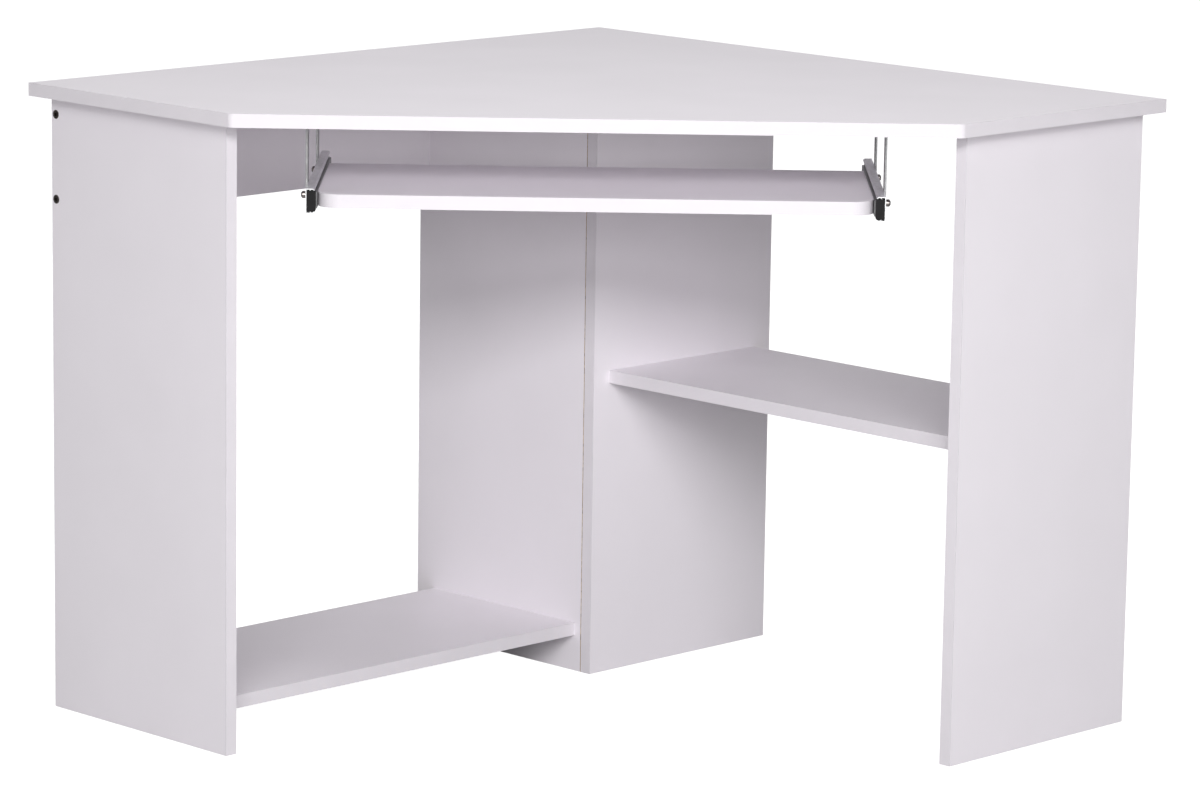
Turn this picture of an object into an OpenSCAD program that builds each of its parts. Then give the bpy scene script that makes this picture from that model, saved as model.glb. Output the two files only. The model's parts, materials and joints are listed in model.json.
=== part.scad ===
// Corner desk for a room corner: a five-sided top on two end panels and a V-shaped pair of
// dividers, with a back rail, a low shelf on the left, a shelf at half height on the right
// and a keyboard tray on ball-bearing slides under the diagonal front edge.
//
// The room corner is at -X +Y. The left wing runs from it towards -Y, and the right wing
// towards +X. The floor is Z = 0. All sizes are in millimetres.

/* [Desk] */
// Length of each wing along its wall
desk_l = 900; // [800:10:1200]
// Height of the top's upper face above the floor
desk_h = 720; // [600:5:900]
// Depth of the top at the free end of each wing
wing_d = 345; // [330:5:450]
// Thickness of every board
board_t = 15; // [12:0.5:22]
// Thickness of the edge strips
band_t = 1; // [0.4:0.1:2]
// Width of the dark groove where the two dividers meet in front
seam_w = 1; // [0.4:0.1:1.6]
// Radius of the two front corners of the top
corner_r = 9; // [4:0.5:20]

/* [Uprights] */
// Depth of the end panels, front to back
panel_d = 300; // [240:5:310]
// Gap between the wall and the back edges of the uprights
back_gap = 11; // [0:1:30]
// How far the top stands past the end panels
side_overhang = 24; // [5:1:60]

/* [Shelves and rail] */
// Upper face of the left shelf above the floor
left_shelf_z = 58; // [40:1:300]
// Upper face of the right shelf above the floor
right_shelf_z = 363; // [150:1:500]
// How far the shelves' front edges stand back from the uprights
shelf_set_back = 26; // [5:1:80]
// Gap between the wall and the shelves' rear edges
shelf_rear_gap = 40; // [0:1:80]
// Height of the left back rail
rail_h = 138; // [100:1:200]
// Distance between the two screws at each end of the rail
rail_screw_pitch = 96; // [60:1:110]

/* [Keyboard tray] */
// Width of the tray between its slides
tray_w = 600; // [480:5:640]
// Depth of the tray
tray_d = 240; // [210:5:260]
// Radius of the tray's front corners
tray_r = 25; // [10:1:40]
// How far the closed tray stands back from the top's front edge
tray_set_back = 10; // [2:1:60]
// Clear height between the top and the tray
tray_drop = 72; // [45:1:120]
// How far the tray pulls out
tray_travel = 190; // [120:5:200]

/* [Slides] */
// Length of the fixed slide member
slide_len = 300; // [280:5:350]
// Height of the fixed slide member
slide_h = 27; // [26:0.5:35]
// Thickness of the whole slide, from the tray's edge to its outer face
slide_w = 12; // [10:0.5:13]
// Sheet thickness of the slide members
slide_t = 1; // [0.8:0.1:1.2]
// Diameter of the bearing balls
ball_d = 3.2; // [2.5:0.1:3.4]
// Distance between neighbouring balls
ball_pitch = 9; // [6:0.5:14]

/* [Hangers] */
// Sheet thickness of the four hangers
hanger_t = 2; // [1.5:0.5:3]
// Width of each hanger
hanger_w = 25; // [20:1:35]
// Length of the hanger's flange under the top
hanger_flange = 26; // [22:1:40]
// Distance between the front and the rear hanger
hanger_pitch = 192; // [150:1:230]
// Distance from the slide's front end to the front hanger's middle
hanger_set_back = 48; // [20:1:60]

/* [Fittings] */
// Diameter of the cam locks
cam_d = 15; // [12:0.5:18]
// Distance from a board's end to the middle of its cam lock
cam_reach = 24; // [20:0.5:34]
// Diameter of the dowels and of the cam bolts' threads
dowel_d = 8; // [6:0.5:10]
// Length of a dowel
dowel_len = 30; // [24:1:40]
// Depth that dowels and cam bolts go into the board that they stand in
seat_depth = 10; // [8:0.5:11]
// Distance from an upright's edge to its nearest cam lock
cam_inset = 50; // [35:1:80]
// Head diameter of the rail screws
rail_screw_head_d = 10; // [8:0.5:12]
// Length of the rail screws
rail_screw_len = 50; // [40:1:60]
// Clearance around a pin or thread in its hole
fit_gap = 0.05; // [0.02:0.01:0.2]
// Clearance between pieces that slide past each other
run_gap = 0.3; // [0.2:0.05:0.5]

/* [Hidden] */
$fn = 48;

// Straight steps in each round corner of the top and the tray
arc_steps = 16;

// Heights and places along a wing
under_z = desk_h - board_t;
panel_front = back_gap + panel_d;
end_in = desk_l - side_overhang - board_t;
div_in = panel_front - board_t;
bay_l = end_in - panel_front;
shelf_front = panel_front - shelf_set_back;
shelf_cam_inset = 40;
shelf_cam_bs = [shelf_rear_gap + shelf_cam_inset, shelf_front - shelf_cam_inset];
shelf_dowel_bs = [(shelf_rear_gap + shelf_front) / 2];
rail_mid_b = back_gap + board_t / 2;
rail_z = under_z - rail_h;
rail_mid_z = under_z - rail_h / 2;
rail_screw_zs = [rail_mid_z - rail_screw_pitch / 2, rail_mid_z + rail_screw_pitch / 2];
seam_depth = 3;
divider_cam_zs = [under_z * 0.14, under_z * 0.5, under_z * 0.86];
divider_dowel_zs = [under_z * 0.32, under_z * 0.68];

// Places across the diagonal, measured from the room corner
diag_front = (desk_l + wing_d) / sqrt(2);
tray_front = diag_front - tray_set_back;
tray_rear = tray_front - tray_d;
tray_z = under_z - tray_drop;
slide_z = tray_z - board_t / 2;
slide_rear = tray_front - slide_len;

// Section of a slide, measured outwards from the tray's edge and up from the slide's middle
race_ri = ball_d / 2 + run_gap;
race_ro = race_ri + slide_t;
race_half_gap = 0.8;
ball_u = 2 * slide_t + race_ro;
ball_v = slide_h / 2 - race_ro;
web_in = slide_w - slide_t;
cage_t = 0.6;
cage_web_u = (ball_u + race_ro + web_in) / 2 - cage_t / 2;
cage_half_h = ball_v + cage_t / 2;

// Places along a slide
cap_t = 5;
cap_proud = 2;
cap_r = 2;
plug_len = 8;
plug_out = 6.5;
plug_r = 1;
inner_front = tray_front - cap_t;
inner_len = slide_len - 25;
inner_rear = inner_front - inner_len;
stop_t = 2;
stop_half_h = 3;
front_stop = tray_front - 12;
cage_front = front_stop - run_gap - tray_travel / 2;
cage_rear = inner_rear + stop_t + run_gap + tray_travel / 2;
cage_len = cage_front - cage_rear;
ball_margin = 5;
ball_count = floor((cage_len - 2 * ball_margin) / ball_pitch) + 1;
ball_row = (ball_count - 1) * ball_pitch;
hanger_mids = [tray_front - hanger_set_back - hanger_pitch, tray_front - hanger_set_back];
tray_screw_ds = [tray_rear + 20, (tray_rear + tray_front - tray_r) / 2, tray_front - tray_r - 18];

// Fasteners
cam_depth = board_t - 3;
cam_slot_w = 1.6;
cam_slot_depth = 1.5;
bolt_shaft_d = 5;
bolt_head_d = dowel_d - 1;
bolt_collar_h = 1.5;
bolt_ball_h = 3.5;
rail_shank_d = 7;
rail_thread_d = 6;
rail_tip_d = 2;
rail_tip_len = 4;
rail_head_h = 1.5;
rail_head_proud = 0.3;
rail_socket_d = 4.6;
rail_socket_depth = 2.4;
wood_screw_d = 3.5;
wood_screw_head_d = 7;
wood_screw_len = 12;
wood_screw_head_h = 2;
machine_screw_d = 4;
machine_head_d = 8;
machine_head_h = 6;
tray_screw_len = 15;
screw_slot_w = 1;
access_hole_d = 9;
flange_screw_out = 15;
flange_screw_pitch = 12;

// ---- Frames ----

// Room corner at the origin
module at_corner() {
  translate([-desk_l / 2, desk_l / 2, 0]) children();
}

// Wing frames: first axis along the wing from the corner, second away from the wall
module left_wing() {
  at_corner() rotate([0, 0, -90]) children();
}
module right_wing() {
  at_corner() mirror([0, 1, 0]) children();
}

// Diagonal frame: first axis from the corner to the user, second to the user's right
module on_diagonal() {
  at_corner() rotate([0, 0, -45]) children();
}

// The same piece on the left or the right side of the tray
module on_side(side) {
  on_diagonal() mirror([0, side < 0 ? 1 : 0, 0]) children();
}

// A slide section carried along the slide from one place to another
module along_slide(from, to) {
  translate([from, tray_w / 2, slide_z]) rotate([90, 0, 90]) linear_extrude(to - from) children();
}

// ---- Joint places ----
// Each frame has Z from the board that holds the bolt into the board that holds the cam,
// and Y out of the face where the cam's pocket opens.

module top_cam_places(inner_face, front) {
  for (b = [back_gap + cam_inset, front - cam_inset])
    translate([inner_face + board_t / 2, b, under_z]) rotate([180, 0, -90]) children();
}
module top_dowel_place(inner_face, front) {
  translate([inner_face + board_t / 2, (back_gap + front) / 2, under_z]) rotate([180, 0, -90]) children();
}
module shelf_bs(bs) {
  for (b = bs) translate([0, b, 0]) children();
}
module shelf_end_places(shelf_z, bs) {
  shelf_bs(bs) translate([end_in, 0, shelf_z - board_t / 2]) rotate([-90, 0, 90]) children();
}
module shelf_divider_places(shelf_z, bs) {
  shelf_bs(bs) translate([panel_front, 0, shelf_z - board_t / 2]) rotate([-90, 0, -90]) children();
}
module divider_joint_places(zs) {
  for (z = zs) translate([div_in + board_t / 2, div_in, z]) rotate([90, -90, 0]) children();
}
module rail_end_places() {
  for (z = rail_screw_zs) translate([end_in + board_t, rail_mid_b, z]) rotate([0, 90, 0]) children();
}
module rail_divider_places() {
  for (z = rail_screw_zs) translate([div_in, rail_mid_b, z]) rotate([0, -90, 0]) children();
}

// Every place of one kind, on both wings
module all_top_cams() {
  left_wing() top_cam_places(end_in, panel_front) children();
  right_wing() top_cam_places(end_in, panel_front) children();
  left_wing() top_cam_places(div_in, div_in) children();
  right_wing() top_cam_places(div_in, panel_front) children();
}
module all_top_dowels() {
  left_wing() top_dowel_place(end_in, panel_front) children();
  right_wing() top_dowel_place(end_in, panel_front) children();
  left_wing() top_dowel_place(div_in, div_in) children();
  right_wing() top_dowel_place(div_in, panel_front) children();
}
module all_shelf_places(bs) {
  left_wing() shelf_end_places(left_shelf_z, bs) children();
  left_wing() shelf_divider_places(left_shelf_z, bs) children();
  right_wing() shelf_end_places(right_shelf_z, bs) children();
  right_wing() shelf_divider_places(right_shelf_z, bs) children();
}

// ---- Fittings and their holes ----

module cam_bolt() {
  thread_d = dowel_d - 2 * fit_gap;
  translate([0, 0, -seat_depth]) cylinder(d = thread_d, h = seat_depth);
  cylinder(d = bolt_head_d, h = bolt_collar_h);
  cylinder(d = bolt_shaft_d, h = cam_reach);
  translate([0, 0, cam_reach - 2]) cylinder(d = bolt_head_d, h = bolt_ball_h);
}
module bolt_seat() {
  translate([0, 0, -seat_depth]) cylinder(d = dowel_d, h = seat_depth + 1);
}
module cam_pocket() {
  translate([0, 0, -1]) cylinder(d = dowel_d, h = cam_reach + 1);
  translate([0, board_t / 2 - cam_depth, cam_reach])
    rotate([-90, 0, 0]) cylinder(d = cam_d, h = cam_depth + 1);
}
module cam_lock() {
  slot_len = cam_d * 0.6;
  difference() {
    translate([0, board_t / 2 - cam_depth, cam_reach])
      rotate([-90, 0, 0]) cylinder(d = cam_d - 2 * fit_gap, h = cam_depth);
    translate([0, 0, cam_reach - cam_d]) cylinder(d = dowel_d, h = cam_d + 3);
    translate([0, board_t / 2 - cam_slot_depth, cam_reach]) {
      translate([-slot_len / 2, 0, -cam_slot_w / 2]) cube([slot_len, 2, cam_slot_w]);
      translate([-cam_slot_w / 2, 0, -slot_len / 2]) cube([cam_slot_w, 2, slot_len]);
    }
  }
}
module dowel() {
  translate([0, 0, -seat_depth]) cylinder(d = dowel_d - 2 * fit_gap, h = dowel_len);
}
module dowel_seat() {
  translate([0, 0, -seat_depth]) cylinder(d = dowel_d, h = seat_depth + 1);
}
module dowel_socket() {
  translate([0, 0, -1]) cylinder(d = dowel_d, h = dowel_len - seat_depth + 1);
}

// Rail screw: head face at Z = 0, shank towards -Z, with a hexagon socket
module rail_screw() {
  cone_h = (rail_screw_head_d - rail_shank_d) / 2;
  shank_end = board_t - 1;
  difference() {
    union() {
      translate([0, 0, -rail_head_h])
        cylinder(d = rail_screw_head_d, h = rail_head_h + rail_head_proud);
      translate([0, 0, -rail_head_h - cone_h])
        cylinder(d1 = rail_shank_d, d2 = rail_screw_head_d, h = cone_h);
      translate([0, 0, -shank_end]) cylinder(d = rail_shank_d, h = shank_end - rail_head_h);
      translate([0, 0, rail_tip_len - rail_screw_len])
        cylinder(d = rail_thread_d, h = rail_screw_len - rail_tip_len - rail_head_h);
      translate([0, 0, -rail_screw_len]) cylinder(d1 = rail_tip_d, d2 = rail_thread_d, h = rail_tip_len);
    }
    translate([0, 0, -rail_socket_depth]) cylinder(d = rail_socket_d, h = rail_socket_depth + 1, $fn = 6);
  }
}
module rail_screw_head_hole() {
  cone_h = (rail_screw_head_d - rail_shank_d) / 2;
  head_hole_d = rail_screw_head_d + 2 * fit_gap;
  shank_hole_d = rail_shank_d + 2 * fit_gap;
  translate([0, 0, -rail_head_h]) cylinder(d = head_hole_d, h = rail_head_h + 1);
  translate([0, 0, -rail_head_h - cone_h]) cylinder(d1 = shank_hole_d, d2 = head_hole_d, h = cone_h);
  translate([0, 0, -board_t - 1]) cylinder(d = shank_hole_d, h = board_t + 1);
}
module rail_screw_thread_hole() {
  translate([0, 0, -rail_screw_len - 1]) cylinder(d = rail_thread_d + 2 * fit_gap, h = rail_screw_len + 1);
}

// Pan-head screw: the head's flat side at Z = 0, shank towards -Z
module pan_screw(shank_d, shank_len, head_d, head_h) {
  dome_r = head_d * 0.62;
  slot_len = head_d * 0.6;
  slot_z = head_h * 0.45;
  translate([0, 0, -shank_len]) cylinder(d = shank_d, h = shank_len);
  difference() {
    intersection() {
      cylinder(d = head_d, h = head_h);
      translate([0, 0, head_h - dome_r]) sphere(r = dome_r);
    }
    translate([-slot_len / 2, -screw_slot_w / 2, slot_z]) cube([slot_len, screw_slot_w, head_h]);
    translate([-screw_slot_w / 2, -slot_len / 2, slot_z]) cube([screw_slot_w, slot_len, head_h]);
  }
}

// ---- Boards ----

// Points of a round corner, from one angle to another
function arc(mid, r, from, to) = [
  for (i = [0 : arc_steps])
    let (a = from + (to - from) * i / arc_steps)
      mid + r * [cos(a), sin(a)]
];

// Outline of the top, with its three free edges moved in by e
module top_outline(e) {
  slant = corner_r * (sqrt(2) - 1);
  c_mid = [wing_d - slant, corner_r - desk_l];
  d_mid = [desk_l - corner_r, slant - wing_d];
  polygon(concat(
    [[0, 0], [0, e - desk_l]],
    arc(c_mid, corner_r - e, -90, -45),
    arc(d_mid, corner_r - e, -45, 0),
    [[desk_l - e, 0]]
  ));
}
module worktop() {
  color([0.90, 0.88, 0.91]) difference() {
    at_corner() translate([0, 0, under_z]) linear_extrude(board_t) top_outline(band_t);
    all_top_cams() bolt_seat();
    all_top_dowels() dowel_seat();
    all_flange_screws() wood_screw_hole();
  }
}
module worktop_edge_band() {
  color([0.96, 0.95, 0.97]) at_corner() translate([0, 0, under_z])
    linear_extrude(board_t) difference() {
      top_outline(0);
      top_outline(band_t);
    }
}

// A standing board with its cam pockets and dowel socket, in a wing frame
module upright(inner_face, front, board_front) {
  difference() {
    translate([inner_face, back_gap, 0]) cube([board_t, board_front - back_gap, under_z]);
    top_cam_places(inner_face, front) cam_pocket();
    top_dowel_place(inner_face, front) dowel_socket();
  }
}
module front_band(inner_face) {
  color([0.96, 0.95, 0.97]) translate([inner_face, panel_front - band_t, 0])
    cube([board_t, band_t, under_z]);
}
module end_panel(shelf_z) {
  difference() {
    upright(end_in, panel_front, panel_front - band_t);
    shelf_end_places(shelf_z, shelf_cam_bs) bolt_seat();
    shelf_end_places(shelf_z, shelf_dowel_bs) dowel_seat();
  }
}
module left_end_panel() {
  color([0.86, 0.84, 0.87]) left_wing() difference() {
    end_panel(left_shelf_z);
    rail_end_places() rail_screw_head_hole();
  }
}
module right_end_panel() {
  color([0.86, 0.84, 0.87]) right_wing() end_panel(right_shelf_z);
}
module left_end_panel_band() {
  left_wing() front_band(end_in);
}
module right_end_panel_band() {
  right_wing() front_band(end_in);
}
module right_divider_band() {
  right_wing() front_band(div_in);
}
module left_divider() {
  color([0.86, 0.84, 0.87]) left_wing() difference() {
    upright(div_in, div_in, div_in);
    translate([panel_front - seam_depth, div_in - seam_w, -1]) cube([seam_depth + 1, seam_w + 1, desk_h]);
    shelf_divider_places(left_shelf_z, shelf_cam_bs) bolt_seat();
    shelf_divider_places(left_shelf_z, shelf_dowel_bs) dowel_seat();
    divider_joint_places(divider_cam_zs) cam_pocket();
    divider_joint_places(divider_dowel_zs) dowel_socket();
    rail_divider_places() rail_screw_head_hole();
  }
}
module right_divider() {
  color([0.86, 0.84, 0.87]) difference() {
    right_wing() difference() {
      upright(div_in, panel_front, panel_front - band_t);
      shelf_divider_places(right_shelf_z, shelf_cam_bs) bolt_seat();
      shelf_divider_places(right_shelf_z, shelf_dowel_bs) dowel_seat();
    }
    left_wing() divider_joint_places(divider_cam_zs) bolt_seat();
    left_wing() divider_joint_places(divider_dowel_zs) dowel_seat();
  }
}
module left_back_rail() {
  color([0.86, 0.84, 0.87]) left_wing() difference() {
    translate([panel_front, back_gap, rail_z + band_t]) cube([bay_l, board_t, rail_h - band_t]);
    rail_end_places() rail_screw_thread_hole();
    rail_divider_places() rail_screw_thread_hole();
  }
}
module left_back_rail_band() {
  color([0.96, 0.95, 0.97]) left_wing() translate([panel_front, back_gap, rail_z])
    cube([bay_l, board_t, band_t]);
}
module shelf(shelf_z) {
  color([0.88, 0.86, 0.89]) difference() {
    translate([panel_front, shelf_rear_gap, shelf_z - board_t])
      cube([bay_l, shelf_front - band_t - shelf_rear_gap, board_t]);
    shelf_end_places(shelf_z, shelf_cam_bs) cam_pocket();
    shelf_divider_places(shelf_z, shelf_cam_bs) cam_pocket();
    shelf_end_places(shelf_z, shelf_dowel_bs) dowel_socket();
    shelf_divider_places(shelf_z, shelf_dowel_bs) dowel_socket();
  }
}
module shelf_band(shelf_z) {
  color([0.96, 0.95, 0.97]) translate([panel_front, shelf_front - band_t, shelf_z - board_t])
    cube([bay_l, band_t, board_t]);
}
module left_shelf() {
  left_wing() shelf(left_shelf_z);
}
module left_shelf_band() {
  left_wing() shelf_band(left_shelf_z);
}
module right_shelf() {
  right_wing() shelf(right_shelf_z);
}
module right_shelf_band() {
  right_wing() shelf_band(right_shelf_z);
}

// ---- Keyboard tray ----

// Outline of the tray, with its front and side edges moved in by e
module tray_outline(e) {
  corner_mid = [tray_front - tray_r, tray_w / 2 - tray_r];
  polygon(concat(
    [[tray_rear, e - tray_w / 2]],
    arc([corner_mid[0], -corner_mid[1]], tray_r - e, -90, 0),
    arc(corner_mid, tray_r - e, 0, 90),
    [[tray_rear, tray_w / 2 - e]]
  ));
}
module tray_screw_places() {
  for (side = [-1, 1], d = tray_screw_ds)
    on_side(side) translate([d, tray_w / 2 + slide_t, slide_z]) rotate([-90, 0, 0]) children();
}
module tray_screw_hole() {
  translate([0, 0, -tray_screw_len - 1]) cylinder(d = wood_screw_d + 2 * fit_gap, h = tray_screw_len + 2);
}
module keyboard_tray() {
  color([0.90, 0.88, 0.91]) difference() {
    on_diagonal() translate([0, 0, tray_z - board_t]) linear_extrude(board_t) tray_outline(band_t);
    tray_screw_places() tray_screw_hole();
  }
}
module keyboard_tray_band() {
  color([0.96, 0.95, 0.97]) difference() {
    on_diagonal() translate([0, 0, tray_z - board_t]) linear_extrude(board_t) difference() {
      tray_outline(0);
      tray_outline(band_t);
    }
    tray_screw_places() tray_screw_hole();
  }
}

// ---- Slides ----

// Upper and lower race of one member: the outer race wraps the far side of the ball
module race(outer) {
  half = race_half_gap;
  for (flip = [0, 1]) mirror([0, flip]) translate([ball_u, ball_v]) intersection() {
    difference() {
      circle(race_ro);
      circle(race_ri);
    }
    translate([-race_ro, outer ? half : -race_ro]) square([2 * race_ro, race_ro - half]);
  }
}
module outer_section() {
  translate([web_in, -slide_h / 2]) square([slide_t, slide_h]);
  for (flip = [0, 1]) mirror([0, flip])
    translate([ball_u, slide_h / 2 - slide_t]) square([slide_w - ball_u, slide_t]);
  race(true);
}
module inner_section() {
  half_h = ball_v - race_ri;
  translate([0, -half_h]) square([slide_t, 2 * half_h]);
  for (flip = [0, 1]) mirror([0, flip]) translate([0, half_h - slide_t]) square([ball_u, slide_t]);
  race(false);
}
module stop_section(from, to) {
  translate([from, -stop_half_h]) square([to - from, 2 * stop_half_h]);
}
module slide_screw_places(side) {
  on_side(side) for (d = hanger_mids)
    translate([d, tray_w / 2 + slide_w + hanger_t, slide_z]) rotate([-90, 0, 0]) children();
}
module slide_screw_hole() {
  translate([0, 0, -hanger_t - slide_t - 1])
    cylinder(d = machine_screw_d + 2 * fit_gap, h = hanger_t + slide_t + 2);
}
module slide_outer(side) {
  stop_in = cage_web_u - 0.4;
  stop_out = web_in + slide_t / 2;
  color([0.72, 0.73, 0.74]) difference() {
    on_side(side) {
      along_slide(slide_rear, tray_front) outer_section();
      along_slide(front_stop, front_stop + stop_t) stop_section(stop_in, stop_out);
      along_slide(inner_rear - run_gap - stop_t, inner_rear - run_gap) stop_section(stop_in, stop_out);
    }
    slide_screw_places(side) slide_screw_hole();
    on_side(side) for (d = tray_screw_ds) translate([d, tray_w / 2 + web_in, slide_z])
      rotate([-90, 0, 0]) translate([0, 0, -0.5]) cylinder(d = access_hole_d, h = slide_t + 1);
  }
}
module slide_inner(side) {
  color([0.76, 0.77, 0.78]) difference() {
    on_side(side) {
      along_slide(inner_rear, inner_front) inner_section();
      along_slide(inner_rear, inner_rear + stop_t) stop_section(slide_t / 2, web_in - run_gap);
    }
    on_side(side) for (d = tray_screw_ds) translate([d, tray_w / 2 - 1, slide_z])
      rotate([-90, 0, 0]) cylinder(d = wood_screw_d + 2 * fit_gap, h = slide_t + 2);
  }
}
module ball_places() {
  row_rear = (cage_front + cage_rear - ball_row) / 2;
  for (i = [0 : ball_count - 1], flip = [-1, 1])
    translate([row_rear + i * ball_pitch, tray_w / 2 + ball_u, slide_z + flip * ball_v]) children();
}
module cage_section() {
  cage_in = ball_u - race_ri - 0.5;
  hollow_half_h = cage_half_h - cage_t;
  difference() {
    translate([cage_in, -cage_half_h]) square([cage_web_u + cage_t - cage_in, 2 * cage_half_h]);
    translate([cage_in - 1, -hollow_half_h]) square([cage_web_u - cage_in + 1, 2 * hollow_half_h]);
  }
}
module ball_cage(side) {
  color([0.45, 0.45, 0.46]) on_side(side) difference() {
    along_slide(cage_rear, cage_front) cage_section();
    ball_places() translate([0, 0, -cage_t]) cylinder(d = ball_d + 0.1, h = 2 * cage_t);
  }
}
module balls(side) {
  color([0.80, 0.81, 0.82]) on_side(side) ball_places() sphere(d = ball_d);
}
module cap_section(in, out, half_h, r) {
  translate([in, r - half_h]) square([out - in, 2 * half_h - 2 * r]);
  translate([in + r, -half_h]) square([out - in - 2 * r, 2 * half_h]);
  for (u = [in + r, out - r], v = [r - half_h, half_h - r]) translate([u, v]) circle(r);
}
module slide_cap(side) {
  face_half_h = ball_v + race_half_gap - run_gap;
  plug_half_h = ball_v - race_ro - fit_gap;
  color([0.10, 0.10, 0.11]) on_side(side) {
    along_slide(inner_front, tray_front + cap_proud)
      cap_section(slide_t, web_in - run_gap, face_half_h, cap_r);
    along_slide(inner_front - plug_len, inner_front)
      cap_section(slide_t + fit_gap, plug_out, plug_half_h, plug_r);
  }
}

// ---- Hangers ----

// An L of bent strip: the leg beside the slide and the flange under the top
module hanger_section() {
  bend_r = hanger_t + 1;
  leg_bottom = slide_z - slide_h / 2;
  translate([0, leg_bottom]) square([hanger_t, under_z - bend_r - leg_bottom]);
  translate([bend_r, under_z - hanger_t]) square([hanger_flange - bend_r, hanger_t]);
  intersection() {
    translate([bend_r, under_z - bend_r]) difference() {
      circle(bend_r);
      circle(bend_r - hanger_t);
    }
    translate([0, under_z - bend_r]) square([bend_r, bend_r]);
  }
}
module flange_screw_places(side, mid) {
  screw_side = tray_w / 2 + slide_w + flange_screw_out;
  on_side(side) for (step = [-1, 1])
    translate([mid + step * flange_screw_pitch / 2, screw_side, under_z - hanger_t])
      rotate([180, 0, 0]) children();
}
module all_flange_screws() {
  for (side = [-1, 1], mid = hanger_mids) flange_screw_places(side, mid) children();
}
module wood_screw_hole() {
  hole_depth = hanger_t + wood_screw_len + 0.5;
  translate([0, 0, -hole_depth]) cylinder(d = wood_screw_d + 2 * fit_gap, h = hole_depth + 1);
}
module hanger(side, mid) {
  color([0.70, 0.71, 0.72]) difference() {
    on_side(side) translate([mid - hanger_w / 2, tray_w / 2 + slide_w, 0])
      rotate([90, 0, 90]) linear_extrude(hanger_w) hanger_section();
    flange_screw_places(side, mid) wood_screw_hole();
    slide_screw_places(side) slide_screw_hole();
  }
}

// ---- Nodes ----

module left_front_hanger() { hanger(-1, hanger_mids[1]); }
module left_rear_hanger() { hanger(-1, hanger_mids[0]); }
module right_front_hanger() { hanger(1, hanger_mids[1]); }
module right_rear_hanger() { hanger(1, hanger_mids[0]); }
module left_slide_outer() { slide_outer(-1); }
module right_slide_outer() { slide_outer(1); }
module left_slide_inner() { slide_inner(-1); }
module right_slide_inner() { slide_inner(1); }
module left_ball_cage() { ball_cage(-1); }
module right_ball_cage() { ball_cage(1); }
module left_balls() { balls(-1); }
module right_balls() { balls(1); }
module left_slide_cap() { slide_cap(-1); }
module right_slide_cap() { slide_cap(1); }
module top_cam_bolts() {
  color([0.7, 0.7, 0.68]) all_top_cams() cam_bolt();
}
module top_cam_locks() {
  color([0.6, 0.6, 0.6]) all_top_cams() cam_lock();
}
module top_dowels() {
  color([0.80, 0.64, 0.42]) all_top_dowels() dowel();
}
module shelf_cam_bolts() {
  color([0.7, 0.7, 0.68]) all_shelf_places(shelf_cam_bs) cam_bolt();
}
module shelf_cam_locks() {
  color([0.6, 0.6, 0.6]) all_shelf_places(shelf_cam_bs) cam_lock();
}
module shelf_dowels() {
  color([0.80, 0.64, 0.42]) all_shelf_places(shelf_dowel_bs) dowel();
}
module divider_cam_bolts() {
  color([0.7, 0.7, 0.68]) left_wing() divider_joint_places(divider_cam_zs) cam_bolt();
}
module divider_cam_locks() {
  color([0.6, 0.6, 0.6]) left_wing() divider_joint_places(divider_cam_zs) cam_lock();
}
module divider_dowels() {
  color([0.80, 0.64, 0.42]) left_wing() divider_joint_places(divider_dowel_zs) dowel();
}
module rail_screws() {
  color([0.45, 0.44, 0.44]) left_wing() {
    rail_end_places() rail_screw();
    rail_divider_places() rail_screw();
  }
}
module hanger_wood_screws() {
  color([0.66, 0.65, 0.62]) all_flange_screws()
    pan_screw(wood_screw_d, wood_screw_len + hanger_t, wood_screw_head_d, wood_screw_head_h);
}
module slide_screws() {
  color([0.62, 0.60, 0.58]) for (side = [-1, 1]) slide_screw_places(side)
    pan_screw(machine_screw_d, hanger_t + slide_t, machine_head_d, machine_head_h);
}
module tray_screws() {
  color([0.66, 0.65, 0.62]) tray_screw_places()
    pan_screw(wood_screw_d, tray_screw_len, wood_screw_head_d, wood_screw_head_h);
}

worktop();
worktop_edge_band();
left_end_panel();
left_end_panel_band();
right_end_panel();
right_end_panel_band();
left_divider();
right_divider();
right_divider_band();
left_back_rail();
left_back_rail_band();
left_shelf();
left_shelf_band();
right_shelf();
right_shelf_band();
keyboard_tray();
keyboard_tray_band();
left_front_hanger();
left_rear_hanger();
right_front_hanger();
right_rear_hanger();
left_slide_outer();
right_slide_outer();
left_slide_inner();
right_slide_inner();
left_ball_cage();
right_ball_cage();
left_balls();
right_balls();
left_slide_cap();
right_slide_cap();
top_cam_bolts();
top_cam_locks();
top_dowels();
shelf_cam_bolts();
shelf_cam_locks();
shelf_dowels();
divider_cam_bolts();
divider_cam_locks();
divider_dowels();
rail_screws();
hanger_wood_screws();
slide_screws();
tray_screws();
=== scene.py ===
# %% [markdown]
# # A white corner desk
# This desk stands in the corner of a room. Its top is a five-sided board, held up by two end
# panels and by two dividers that meet in a V, so that both wings have a bay beneath them. A
# keyboard tray runs on ball-bearing slides under the diagonal front edge. The boards, slides,
# hangers and screws come from the CAD model already in their right places. The lesson in this
# file is the part that CAD leaves out: camera, light, and above all the finishes.

# %% Load the frame
import math

import bmesh
import bpy
import json
from mathutils import Matrix, Vector


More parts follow.
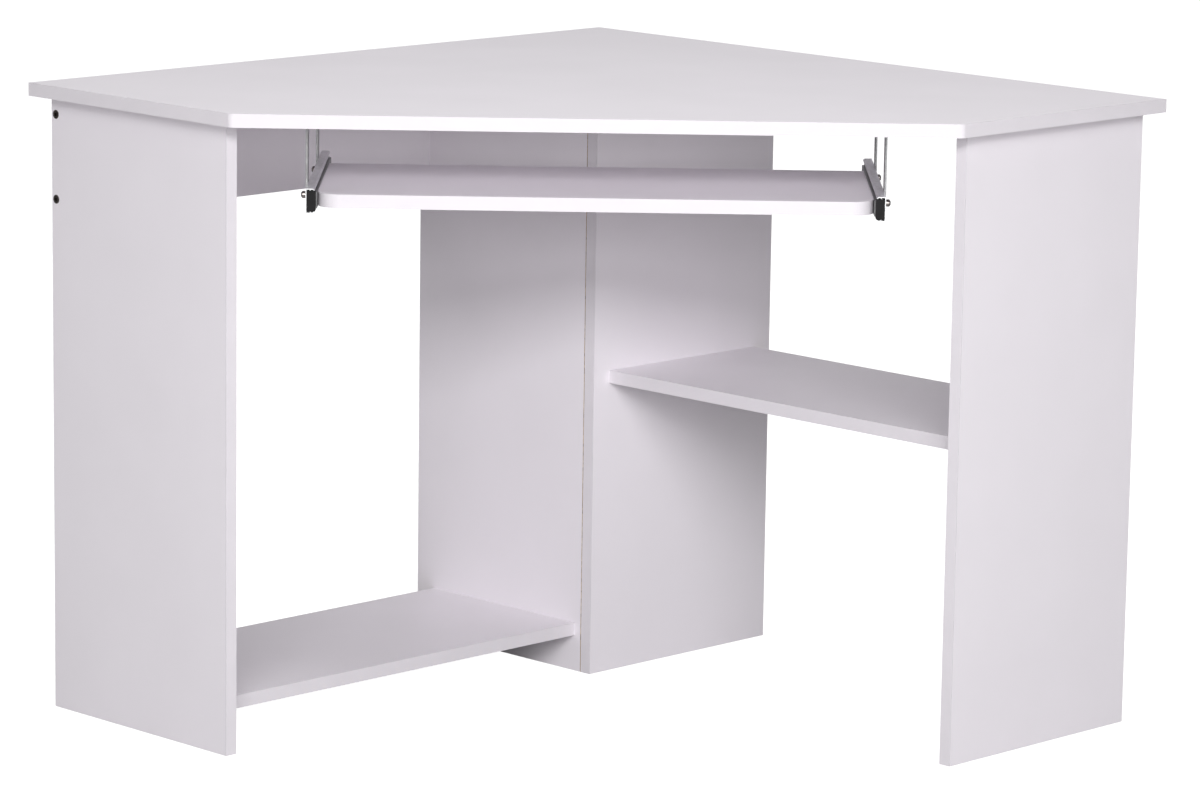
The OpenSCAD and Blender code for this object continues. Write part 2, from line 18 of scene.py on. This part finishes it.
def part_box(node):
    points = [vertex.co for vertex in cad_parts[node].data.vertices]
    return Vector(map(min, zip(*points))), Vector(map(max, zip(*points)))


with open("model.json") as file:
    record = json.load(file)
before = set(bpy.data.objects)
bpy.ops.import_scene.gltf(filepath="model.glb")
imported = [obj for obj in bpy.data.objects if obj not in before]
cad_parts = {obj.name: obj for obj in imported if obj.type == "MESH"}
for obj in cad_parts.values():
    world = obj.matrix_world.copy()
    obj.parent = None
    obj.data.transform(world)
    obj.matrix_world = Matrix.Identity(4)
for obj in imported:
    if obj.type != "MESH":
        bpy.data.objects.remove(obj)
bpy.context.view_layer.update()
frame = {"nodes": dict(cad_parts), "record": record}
nodes = frame["nodes"]

# %% [markdown]
# ## The camera
# A long lens that stands well back keeps the desk's uprights nearly parallel. The camera is
# placed by three plain facts: where it stands, which way it looks (an azimuth round the desk
# and a tilt down), and how much it is rolled. Building its axes from those three is safer than
# typing in Euler angles, because each number can be changed alone.

# %% Camera
CAMERA_PLACE = Vector((3.8710, -3.8628, 1.4058))
CAMERA_AZIMUTH = math.radians(44.98)
CAMERA_TILT = math.radians(10.68)
CAMERA_ROLL = math.radians(0.84)
LENS_MM = 147.6
SENSOR_MM = 36
FAR_CLIP = 60


def camera_axes(azimuth, tilt, roll):
    """Right, up and backward axes of a camera that looks at the desk from its user's side."""
    look = Vector(
        (-math.sin(azimuth) * math.cos(tilt), math.cos(azimuth) * math.cos(tilt), -math.sin(tilt))
    )
    right = Vector((math.cos(azimuth), math.sin(azimuth), 0))
    up = right.cross(look)
    x_axis = right * math.cos(roll) + up * math.sin(roll)
    y_axis = up * math.cos(roll) - right * math.sin(roll)
    return x_axis, y_axis, -look


lens = bpy.data.cameras.new("long_lens")
lens.sensor_width = SENSOR_MM
lens.lens = LENS_MM
lens.clip_end = FAR_CLIP
camera = bpy.data.objects.new("camera", lens)
bpy.context.scene.collection.objects.link(camera)
x_axis, y_axis, z_axis = camera_axes(CAMERA_AZIMUTH, CAMERA_TILT, CAMERA_ROLL)
turn = Matrix((x_axis, y_axis, z_axis)).transposed()
camera.matrix_world = Matrix.Translation(CAMERA_PLACE) @ turn.to_4x4()
bpy.context.scene.camera = camera
print("camera", tuple(round(v, 3) for v in camera.location), "lens", lens.lens)

# %% [markdown]
# ## Helpers for finishes
# Every finish is a small tree of shader nodes. These helpers add a node, join two sockets and
# set a value in one line each, so that the cells below read as a list of what the finish has:
# a tint, a grain, a sheen. Patterns are read from Object coordinates. Each CAD piece keeps its
# place in its mesh, so one metre in the pattern is one metre on the desk.


# %% Node helpers
def new_finish(name, **sockets):
    """A material with one Principled shader, and the constants that it starts from."""
    material = bpy.data.materials.new(name)
    material.use_nodes = True
    shader = material.node_tree.nodes["Principled BSDF"]
    for socket, value in sockets.items():
        shader.inputs[socket.replace("_", " ")].default_value = value
    return material, shader


def add_node(material, kind, **settings):
    """A new node of that kind. Settings that name an input fill it, and others are properties."""
    node = material.node_tree.nodes.new("ShaderNode" + kind)
    for key, value in settings.items():
        label = key.replace("_", " ")
        if label in node.inputs:
            node.inputs[label].default_value = value
        else:
            setattr(node, key, value)
    return node


def join(material, out_socket, in_socket):
    """A link from an output to an input."""
    material.node_tree.links.new(out_socket, in_socket)


def place_on_object(material, scale=(1, 1, 1), turn=(0, 0, 0)):
    """Object coordinates in metres, stretched and turned for one pattern."""
    where = add_node(material, "TexCoord")
    mapping = add_node(material, "Mapping")
    mapping.inputs["Scale"].default_value = scale
    mapping.inputs["Rotation"].default_value = turn
    join(material, where.outputs["Object"], mapping.inputs["Vector"])
    return mapping.outputs["Vector"]


def ramp(material, factor, stops):
    """Colours along a factor from 0 to 1, given as (position, colour) pairs."""
    node = add_node(material, "ValToRGB")
    elements = node.color_ramp.elements
    while len(elements) < len(stops):
        elements.new(0.5)
    for element, (position, colour) in zip(elements, stops):
        element.position = position
        element.color = (*colour, 1)
    join(material, factor, node.inputs["Fac"])
    return node.outputs["Color"]


def spread(material, factor, low, high):
    """A factor from 0 to 1, mapped on to low to high."""
    node = add_node(material, "MapRange")
    node.inputs["To Min"].default_value = low
    node.inputs["To Max"].default_value = high
    join(material, factor, node.inputs["Value"])
    return node.outputs["Result"]


def noise(material, place, scale, detail, roughness):
    """A noise texture read at that place. The roughness is how strong its fine detail is."""
    node = add_node(material, "TexNoise", Scale=scale, Detail=detail, Roughness=roughness)
    join(material, place, node.inputs["Vector"])
    return node.outputs["Fac"]


def relief(material, height, strength, distance, under=None):
    """A bump of that height in metres, on top of another bump where one is given."""
    node = add_node(material, "Bump", Strength=strength, Distance=distance)
    join(material, height, node.inputs["Height"])
    if under is not None:
        join(material, under, node.inputs["Normal"])
    return node.outputs["Normal"]


# A Mix node has its own first, second and result sockets for each kind of value.
MIX_SOCKETS = {"FLOAT": (2, 3, 0), "VECTOR": (4, 5, 1), "RGBA": (6, 7, 2)}


def mix(material, kind, factor, first, second):
    """The first where the factor is 0, the second where it is 1."""
    node = add_node(material, "Mix", data_type=kind)
    in_first, in_second, out_mixed = MIX_SOCKETS[kind]
    join(material, factor, node.inputs[0])
    join(material, first, node.inputs[in_first])
    join(material, second, node.inputs[in_second])
    return node.outputs[out_mixed]


def grey(value, tint=(1.0, 0.955, 1.01)):
    """A light grey with the faint lilac cast of this desk's foil. The value is linear."""
    return tuple(value * t for t in tint)


print("helpers ready")

# %% [markdown]
# ## White melamine
# The boards are chipboard under a sheet of resin-soaked white paper, pressed on between steel
# plates. The plates leave a very fine pebble that softens reflections, and the board beneath
# shows through as a slow, shallow waviness. Three noise textures make this: one of about a
# millimetre for the pebble, one of about 14 cm for the waviness, and one of about 6 mm that
# varies the gloss. The first two are fed to Bump nodes, with heights that are guesses. The
# colour drifts by two or three percent with the waviness.


# %% Melamine layer
MELAMINE = 0.875


def foil_layer(material):
    """Colour, roughness and normal of the white foil."""
    place = place_on_object(material)
    waves = noise(material, place, 7.0, 2.0, 0.5)
    fleck = noise(material, place, 160.0, 4.0, 0.65)
    pebble = noise(material, place, 900.0, 3.0, 0.6)
    colour = ramp(material, waves, [(0.3, grey(MELAMINE * 0.985)), (0.7, grey(MELAMINE * 1.01))])
    shallow = relief(material, waves, 0.5, 0.0006)
    return colour, spread(material, fleck, 0.36, 0.48), relief(material, pebble, 0.6, 0.00003, shallow)


print("melamine reflects", MELAMINE)

# %% [markdown]
# ## Sawn chipboard
# Only the edges that show from the front are closed with a strip. The edges against the wall,
# on the floor and inside the joints stay as the saw left them: pressed wood chips of a few
# millimetres, pale and dark mixed, with small open pits. A Voronoi texture gives each chip its
# own shade, and it is pressed flat along the board as the real chips are. A finer noise over
# the whole edge gives the pits.


# %% Chipboard layer
CHIP_LONG = 210
CHIP_FLAT = 520
CHIP_SCALE = {
    "X": (CHIP_FLAT, CHIP_LONG, CHIP_LONG),
    "Y": (CHIP_LONG, CHIP_FLAT, CHIP_LONG),
    "Z": (CHIP_LONG, CHIP_LONG, CHIP_FLAT),
}


def chip_layer(material, axis):
    """Colour, roughness and normal of a sawn edge, on a board that is thin along that axis."""
    place = place_on_object(material, scale=CHIP_SCALE[axis])
    chips = add_node(material, "TexVoronoi", feature="F1", Scale=1.0, Randomness=1.0)
    join(material, place, chips.inputs["Vector"])
    shade = add_node(material, "SeparateColor")
    join(material, chips.outputs["Color"], shade.inputs["Color"])
    pits = noise(material, place, 2.5, 4.0, 0.7)
    colour = ramp(
        material,
        shade.outputs[0],
        [(0.05, (0.30, 0.21, 0.13)), (0.35, (0.52, 0.38, 0.24)), (0.95, (0.70, 0.55, 0.38))],
    )
    return colour, spread(material, pits, 0.7, 0.9), relief(material, pits, 0.7, 0.0004)


print("chips are about", round(1000 / CHIP_LONG, 1), "mm long")

# %% [markdown]
# ## Foil on the faces, chips on the edges
# One board carries both finishes. A mask picks between them by the way the surface faces: the
# two broad faces look along the board's thin side, and everything else on it is an edge or the
# wall of a drilled hole. A surface counts as an edge where its normal is more than 60 degrees
# off that thin side, so where the cosine is below a half. That needs no painting and holds for
# every board, so three finishes do, one for each direction in which a board can be thin.


# %% Board finishes
FACE_COSINE = 0.5


def edge_mask(material, axis):
    """1 on the edges and in the holes of a board that is thin along that axis, else 0."""
    facing = add_node(material, "SeparateXYZ")
    join(material, add_node(material, "TexCoord").outputs["Normal"], facing.inputs["Vector"])
    across = add_node(material, "Math", operation="ABSOLUTE")
    join(material, facing.outputs[axis], across.inputs[0])
    on_edge = add_node(material, "Math", operation="LESS_THAN")
    on_edge.inputs[1].default_value = FACE_COSINE
    join(material, across.outputs[0], on_edge.inputs[0])
    return on_edge.outputs[0]


def board_finish(axis):
    """Melamine-faced chipboard for boards that are thin along that axis."""
    material, shader = new_finish("melamine_board_" + axis.lower(), Specular_IOR_Level=0.42)
    mask = edge_mask(material, axis)
    pairs = zip(foil_layer(material), chip_layer(material, axis))
    sockets = (("RGBA", "Base Color"), ("FLOAT", "Roughness"), ("VECTOR", "Normal"))
    for (kind, socket), (foil, chips) in zip(sockets, pairs):
        join(material, mix(material, kind, mask, foil, chips), shader.inputs[socket])
    return material


def thin_axis(node):
    """The axis along which a piece is thinnest."""
    low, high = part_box(node)
    sides = [high[i] - low[i] for i in range(3)]
    return "XYZ"[sides.index(min(sides))]


BOARDS = {axis: board_finish(axis) for axis in "XYZ"}
print("board finishes:", [material.name for material in BOARDS.values()])

# %% [markdown]
# ## Edge strip
# The cut edges that show are closed with a plastic strip, glued on and trimmed flush. It is a
# little darker and duller than the foil, so that a strip which faces the key light outshines
# the boards less. Its surface has a faint orange peel, and the scraper that trims it leaves
# slow changes of gloss.

# %% Edge strip finish
EDGE = 0.77
edge_strip, shader = new_finish("white_edge_strip", Specular_IOR_Level=0.24)
place = place_on_object(edge_strip)
scraped = noise(edge_strip, place, 30.0, 3.0, 0.55)
orange_peel = noise(edge_strip, place, 600.0, 2.0, 0.5)
join(
    edge_strip,
    ramp(edge_strip, scraped, [(0.3, grey(EDGE * 0.985)), (0.7, grey(EDGE * 1.01))]),
    shader.inputs["Base Color"],
)
join(edge_strip, spread(edge_strip, scraped, 0.42, 0.56), shader.inputs["Roughness"])
join(edge_strip, relief(edge_strip, orange_peel, 0.4, 0.00004), shader.inputs["Normal"])
print("edge strip reflects", EDGE)

# %% [markdown]
# ## Zinc-plated sheet
# The slides are rolled steel sheet with a thin zinc plating. Zinc grows in crystals, which show
# as soft light and dark patches a few millimetres across, and the rolls leave streaks along the
# sheet. A Voronoi texture gives the crystals. Mixed half and half with a soft smudge, it drives
# the roughness as well as the colour, because on bare metal a change of gloss shows more than a
# change of colour does. A stretched noise gives the streaks as a shallow relief. The hangers
# and the slides' inner members are darker stock, so one function makes both zincs.


# %% Zinc finishes
CRYSTALS = 260
SMUDGE_SHARE = 0.5


def zinc_sheet(name, shades, rough_low, rough_high):
    """Zinc-plated steel with crystal patches in those three shades, from dark to light."""
    material, shader = new_finish(name, Metallic=1.0)
    crystals = add_node(material, "TexVoronoi", feature="F1", Scale=1.0, Randomness=1.0)
    join(material, place_on_object(material, scale=(CRYSTALS,) * 3), crystals.inputs["Vector"])
    smudge = noise(material, place_on_object(material), 45.0, 3.0, 0.5)
    along = place_on_object(material, scale=(60, 900, 1400), turn=(0, 0, math.radians(45)))
    patches = add_node(material, "Mix", data_type="FLOAT")
    patches.inputs[0].default_value = SMUDGE_SHARE
    join(material, crystals.outputs["Distance"], patches.inputs[2])
    join(material, smudge, patches.inputs[3])
    blend = patches.outputs[0]
    dark, middle, light = ((v, v * 1.008, v * 1.02) for v in shades)
    colour = ramp(material, blend, [(0.2, dark), (0.5, middle), (0.8, light)])
    join(material, colour, shader.inputs["Base Color"])
    join(material, spread(material, blend, rough_low, rough_high), shader.inputs["Roughness"])
    streaks = noise(material, along, 1.0, 4.0, 0.6)
    join(material, relief(material, streaks, 0.35, 0.00005), shader.inputs["Normal"])
    return material


slide_zinc = zinc_sheet("zinc_plated_slide", (0.72, 0.86, 0.93), 0.34, 0.54)
dark_zinc = zinc_sheet("dark_zinc_sheet", (0.24, 0.31, 0.38), 0.30, 0.50)
print("zinc has crystals of about", round(1000 / CRYSTALS, 1), "mm")

# %% [markdown]
# ## Screws, balls and the cage between them
# Five more metals are on the desk. The screws and the cam bolts are nickel plated and shine,
# except for the hexagon-socket screws of the back rail, which are left with a brown, slightly
# oily heat-treated skin. The balls are hardened, polished steel. Their cage is punched from
# dull strip, and its dark colour is painted shade, which stands in for the shade inside the
# slide's channel. The cams are cast zinc, grey and rough. One function makes all five, because
# they only differ in colour, gloss and how uneven they are.


# %% Small metal finishes
def small_metal(name, dark, light, rough_low, rough_high, depth=0.00002):
    """A bare or plated metal, with colour and gloss drifting between two values."""
    material, metal = new_finish(name, Metallic=1.0)
    where = place_on_object(material)
    drift = noise(material, where, 120.0, 3.0, 0.6)
    grit = noise(material, where, 500.0, 2.0, 0.5)
    join(material, ramp(material, drift, [(0.3, dark), (0.7, light)]), metal.inputs["Base Color"])
    join(material, spread(material, drift, rough_low, rough_high), metal.inputs["Roughness"])
    join(material, relief(material, grit, 0.3, depth), metal.inputs["Normal"])
    return material


nickel_screw = small_metal("nickel_plated_screw", (0.22, 0.20, 0.19), (0.40, 0.37, 0.35), 0.14, 0.26)
polished_ball = small_metal("polished_ball", (0.68, 0.69, 0.70), (0.80, 0.81, 0.82), 0.05, 0.12)
# The cage's dark colour is painted shade for the inside of the slide's channel.
cage_painted_channel_shade = small_metal("cage_painted_channel_shade", (0.16, 0.16, 0.17), (0.26, 0.26, 0.27), 0.25, 0.45)
socket_screw = small_metal("brown_socket_screw", (0.11, 0.095, 0.09), (0.20, 0.175, 0.165), 0.22, 0.38)
cast_cam = small_metal("cast_zinc_cam", (0.36, 0.36, 0.36), (0.48, 0.48, 0.48), 0.40, 0.60, depth=0.00006)
for metal in (nickel_screw, polished_ball, cage_painted_channel_shade, socket_screw, cast_cam):
    print("small metal:", metal.name)

# %% [markdown]
# ## Black slide caps
# The front ends of the slides are closed with black plastic caps. They are moulded against a
# spark-eroded tool, which leaves a fine matt texture like the skin of an orange. A second,
# coarser noise turns them a little greyer in patches, as handling does.

# %% Black plastic finish
black_cap, shader = new_finish("black_moulded_cap", Specular_IOR_Level=0.22)
place = place_on_object(black_cap)
eroded = noise(black_cap, place, 1100.0, 2.0, 0.5)
rubbed = noise(black_cap, place, 180.0, 3.0, 0.6)
join(
    black_cap,
    ramp(black_cap, rubbed, [(0.35, (0.004, 0.0035, 0.004)), (0.75, (0.011, 0.010, 0.011))]),
    shader.inputs["Base Color"],
)
join(black_cap, spread(black_cap, rubbed, 0.42, 0.6), shader.inputs["Roughness"])
join(black_cap, relief(black_cap, eroded, 0.6, 0.00006), shader.inputs["Normal"])
print("cap finish ready")

# %% [markdown]
# ## Beech dowels
# The dowels hide inside the joints, and are seen only when the desk is taken apart. Beech is
# pale and pinkish, with short dark flecks along the grain. The grain is a noise that is drawn
# out along Z. That is along the stick for the upright dowels under the top, and across it for
# the level dowels of the shelves and dividers.

# %% Beech finish
beech, shader = new_finish("beech_dowel", Roughness=0.6, Specular_IOR_Level=0.3)
grain = noise(beech, place_on_object(beech, scale=(900, 900, 60)), 1.0, 4.0, 0.65)
join(
    beech,
    ramp(beech, grain, [(0.3, (0.42, 0.26, 0.14)), (0.6, (0.62, 0.43, 0.26))]),
    shader.inputs["Base Color"],
)
join(beech, relief(beech, grain, 0.4, 0.0001), shader.inputs["Normal"])
print("beech ready")

# %% [markdown]
# ## Put each finish on its pieces
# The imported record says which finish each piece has, by the name of a slot. The loop below
# goes through the record, so a piece can't be forgotten: a slot without a finish would stop
# the script. Two kinds of piece ask for more than their slot. A board takes the finish for its
# own thin side, and a hanger or an inner slide member takes the darker zinc.


# %% Finishes on the CAD pieces
FINISHES = {
    "white_edge_band": edge_strip,
    "zinc_steel": slide_zinc,
    "cage_steel": cage_painted_channel_shade,
    "ball_steel": polished_ball,
    "black_plastic": black_cap,
    "screw_steel": nickel_screw,
    "cam_zinc": cast_cam,
    "beech": beech,
    "dark_steel": socket_screw,
}


def finish_of(part):
    """The finish of one row of the record's list of pieces."""
    if part["material_slot"] == "white_melamine":
        return BOARDS[thin_axis(part["node"])]
    if part["node"].endswith(("_hanger", "_slide_inner")):
        return dark_zinc
    return FINISHES[part["material_slot"]]


for part in frame["record"]["subparts"]:
    piece = nodes[part["node"]]
    piece.data.materials.clear()
    piece.data.materials.append(finish_of(part))
for finish in (*BOARDS.values(), dark_zinc, *FINISHES.values()):
    print(finish.name, "on", finish.users, "pieces")

# %% [markdown]
# ## Floor and light
# The desk stands in a white cove, so bright that it has no visible end. Such a floor is
# overexposed to a camera, and yet it throws only a soft grey light back at the desk, which
# keeps the shade under the top deep. One material does both: a mid-grey floor that also glows,
# but only for rays that come straight from a camera. The white sky does the same. The floor
# lies a little below the feet, so that no two surfaces share a plane. What shapes the light is
# the set of soft boxes in the cell after this one.

# %% Floor and sky
FLOOR_BOUNCE = 0.54
SKY = 0.20
FLOOR_HALF_SIDE = 30
FLOOR_HEIGHT = -0.0008


def stage_sheet(name, half_side, height, material):
    """A flat square sheet under the desk, staged so that it isn't part of it."""
    mesh = bpy.data.meshes.new(name)
    shape = bmesh.new()
    bmesh.ops.create_grid(shape, x_segments=1, y_segments=1, size=half_side)
    bmesh.ops.translate(shape, verts=shape.verts, vec=(0, 0, height))
    shape.to_mesh(mesh)
    shape.free()
    mesh.materials.append(material)
    sheet = bpy.data.objects.new(name, mesh)
    bpy.context.scene.collection.objects.link(sheet)


cove, shader = new_finish("white_cove", Roughness=0.9, Specular_IOR_Level=0.0)
shader.inputs["Base Color"].default_value = (FLOOR_BOUNCE, FLOOR_BOUNCE, FLOOR_BOUNCE, 1)
shader.inputs["Emission Color"].default_value = (1, 1, 1, 1)
rays = add_node(cove, "LightPath")
join(cove, rays.outputs["Is Camera Ray"], shader.inputs["Emission Strength"])
stage_sheet("studio_floor", FLOOR_HALF_SIDE, FLOOR_HEIGHT, cove)

sky = bpy.data.worlds.new("white_studio")
bpy.context.scene.world = sky
sky.use_nodes = True
background = sky.node_tree.nodes["Background"]
background.inputs["Color"].default_value = (1, 1, 1, 1)
rays = sky.node_tree.nodes.new("ShaderNodeLightPath")
brightness = sky.node_tree.nodes.new("ShaderNodeMapRange")
brightness.inputs["To Min"].default_value = SKY
brightness.inputs["To Max"].default_value = 1.0
sky.node_tree.links.new(rays.outputs["Is Camera Ray"], brightness.inputs["Value"])
sky.node_tree.links.new(brightness.outputs["Result"], background.inputs["Strength"])
print("sky", SKY, "floor bounce", FLOOR_BOUNCE)

# %% [markdown]
# ## Soft boxes
# A soft box is an area light. One this large and near makes shadows with wide, soft edges. The
# key box stands high in front and a little to the right, and its height decides how far down
# the dividers the shade of the tray reaches. A lower one fills the feet of the boards, one
# overhead lights the top, and a weak one behind reaches through the open back on to the
# shelves. All are hidden from the camera, or they would stand in some of the views.


# %% Soft boxes
def soft_box(name, azimuth, elevation, distance, target, width, height, watts):
    """A rectangular light at that azimuth and elevation from its target, facing it."""
    a, e = math.radians(azimuth), math.radians(elevation)
    away = Vector((math.sin(a) * math.cos(e), -math.cos(a) * math.cos(e), math.sin(e)))
    light = bpy.data.lights.new(name, "AREA")
    light.shape = "RECTANGLE"
    light.size, light.size_y = width, height
    light.energy = watts
    box = bpy.data.objects.new(name, light)
    bpy.context.scene.collection.objects.link(box)
    box.location = Vector(target) + away * distance
    box.rotation_euler = away.to_track_quat("Z", "Y").to_euler()
    box.visible_camera = False
    return box


key = soft_box("key_box", 49, 24, 3.5, (0, 0, 0.45), 3.2, 0.55, 81)
low = soft_box("low_box", 47, 12, 3.8, (0, 0, 0.45), 4.6, 0.6, 47)
over = soft_box("ceiling_box", 45, 88, 2.6, (0, 0, 0.7), 2.5, 2.5, 36)
back = soft_box("back_box", 225, 25, 3.5, (0, 0, 0.45), 2.5, 1.5, 6)
bpy.context.scene.view_settings.view_transform = "Standard"
for box in (key, low, over, back):
    print(box.name, "stands at", tuple(round(v, 2) for v in box.location))
